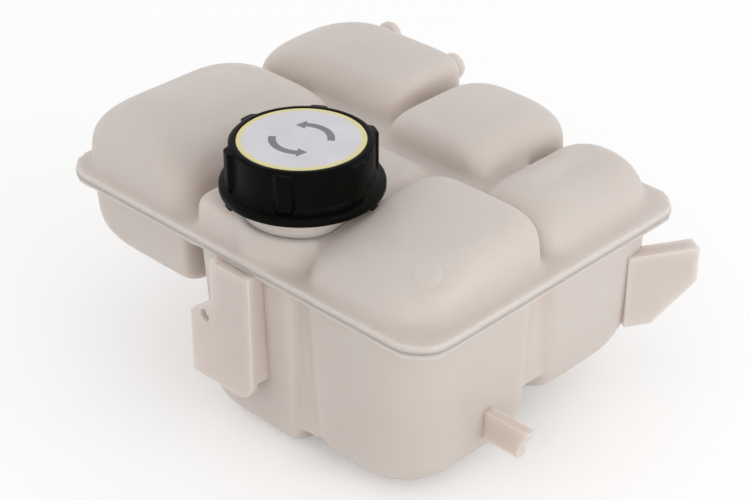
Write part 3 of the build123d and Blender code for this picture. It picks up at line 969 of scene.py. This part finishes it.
def printed_disc(name, context):
    """White print with a yellow border."""
    colours = context.scene.tank_colours
    settings = context.scene.tank_cap
    material, shader = new_material(name)
    nodes, links = material.node_tree.nodes, material.node_tree.links
    place = nodes.new("ShaderNodeTexCoord")
    flat = nodes.new("ShaderNodeVectorMath")
    flat.operation = "SUBTRACT"
    flat.inputs[1].default_value = (WELD_CENTRE.x + CAP_X * MM, WELD_CENTRE.y + CAP_Y * MM,
                                    CAP_HIGH.z - DISC_DEPTH * MM)
    length = nodes.new("ShaderNodeVectorMath")
    length.operation = "LENGTH"
    links.new(place.outputs["Object"], flat.inputs[0])
    links.new(flat.outputs["Vector"], length.inputs[0])
    border = nodes.new("ShaderNodeMapRange")
    edge = settings.disc_radius - settings.ring_width
    border.inputs["From Min"].default_value = edge - 0.6 * MM
    border.inputs["From Max"].default_value = edge + 0.6 * MM
    links.new(length.outputs["Value"], border.inputs["Value"])
    white = place_group(material, cloud_group(), Clear=colours.disc, Cloudy=scaled_colour(colours.disc, 0.92),
                        Cloud_size=60.0)
    mix = nodes.new("ShaderNodeMix")
    mix.data_type = "RGBA"
    mix.inputs[7].default_value = colours.ring
    links.new(border.outputs["Result"], mix.inputs["Factor"])
    links.new(white.outputs["Color"], mix.inputs[6])
    links.new(mix.outputs[2], shader.inputs["Base Color"])
    add_grain(material, shader, size=1200.0, waves=0.2, height=0.03 * MM, low=0.4, high=0.5)
    return material


def plain_finish(name, colour, roughness, metallic, size):
    """Rubber or metal with a fine grain."""
    material, shader = new_material(name)
    dull = scaled_colour(colour, 0.8)
    clouds = place_group(material, cloud_group(), Clear=colour, Cloudy=dull, Cloud_size=size / 4)
    material.node_tree.links.new(clouds.outputs["Color"], shader.inputs["Base Color"])
    shader.inputs["Metallic"].default_value = metallic
    add_grain(material, shader, size=size, waves=0.3, height=0.04 * MM, low=roughness * 0.9,
              high=min(roughness * 1.1, 1.0))
    return material


def seen_directly(nodes, links):
    """Output that is 1 for rays of the camera, in a gloss or through a clear part, and 0 for others."""
    path = nodes.new("ShaderNodeLightPath")
    seen = path.outputs["Is Camera Ray"]
    for label in ("Is Glossy Ray", "Is Transmission Ray"):
        either = nodes.new("ShaderNodeMath")
        either.operation = "MAXIMUM"
        links.new(seen, either.inputs[0])
        links.new(path.outputs[label], either.inputs[1])
        seen = either.outputs["Value"]
    return seen


def floor_paint():
    """Pale matt floor that the camera sees a little brighter, so that it runs into the white behind it."""
    material, shader = new_material("Pale floor")
    shader.inputs["Base Color"].default_value = (0.92, 0.92, 0.92, 1.0)
    shader.inputs["Roughness"].default_value = 1.0
    shader.inputs["Specular IOR Level"].default_value = 0.0
    shader.inputs["Emission Color"].default_value = (1.0, 1.0, 1.0, 1.0)
    nodes, links = material.node_tree.nodes, material.node_tree.links
    glow = nodes.new("ShaderNodeMapRange")
    glow.inputs["To Max"].default_value = 0.23
    links.new(seen_directly(nodes, links), glow.inputs["Value"])
    links.new(glow.outputs["Result"], shader.inputs["Emission Strength"])
    return material


class TANK_PT_pieces(bpy.types.Panel):
    """Pieces of the tank, each with its own button"""
    bl_label = "Expansion tank"
    bl_idname = "TANK_PT_pieces"
    bl_space_type = "VIEW_3D"
    bl_region_type = "UI"
    bl_category = "Tank"

    def draw(self, context):
        scene = context.scene
        groups = ((scene.tank_moulding, TankMouldingSettings), (scene.tank_cap, TankCapSettings),
                  (scene.tank_colours, TankColours))
        for settings, kind in groups:
            box = self.layout.box()
            for label in kind.__annotations__:
                box.prop(settings, label)
        for operator in OPERATORS:
            self.layout.operator(operator.bl_idname)


OPERATORS = (TANK_OT_stage, TANK_OT_upper_moulding, TANK_OT_filler_neck, TANK_OT_lower_moulding,
             TANK_OT_screw_cap, TANK_OT_cap_disc, TANK_OT_valve_finishes, TANK_OT_valve_springs)
CLASSES = (TankMouldingSettings, TankCapSettings, TankColours) + OPERATORS + (TANK_PT_pieces,)


def register():
    for item in CLASSES:
        bpy.utils.register_class(item)
    bpy.types.Scene.tank_moulding = PointerProperty(type=TankMouldingSettings)
    bpy.types.Scene.tank_cap = PointerProperty(type=TankCapSettings)
    bpy.types.Scene.tank_colours = PointerProperty(type=TankColours)


def unregister():
    del bpy.types.Scene.tank_colours
    del bpy.types.Scene.tank_cap
    del bpy.types.Scene.tank_moulding
    for item in reversed(CLASSES):
        bpy.utils.unregister_class(item)


def main():
    register()
    bpy.ops.tank.stage()
    bpy.ops.tank.upper_moulding()
    bpy.ops.tank.filler_neck()
    bpy.ops.tank.lower_moulding()
    bpy.ops.tank.screw_cap()
    bpy.ops.tank.cap_disc()
    bpy.ops.tank.valve_finishes()
    bpy.ops.tank.valve_springs()


if __name__ == "__main__":
    main()
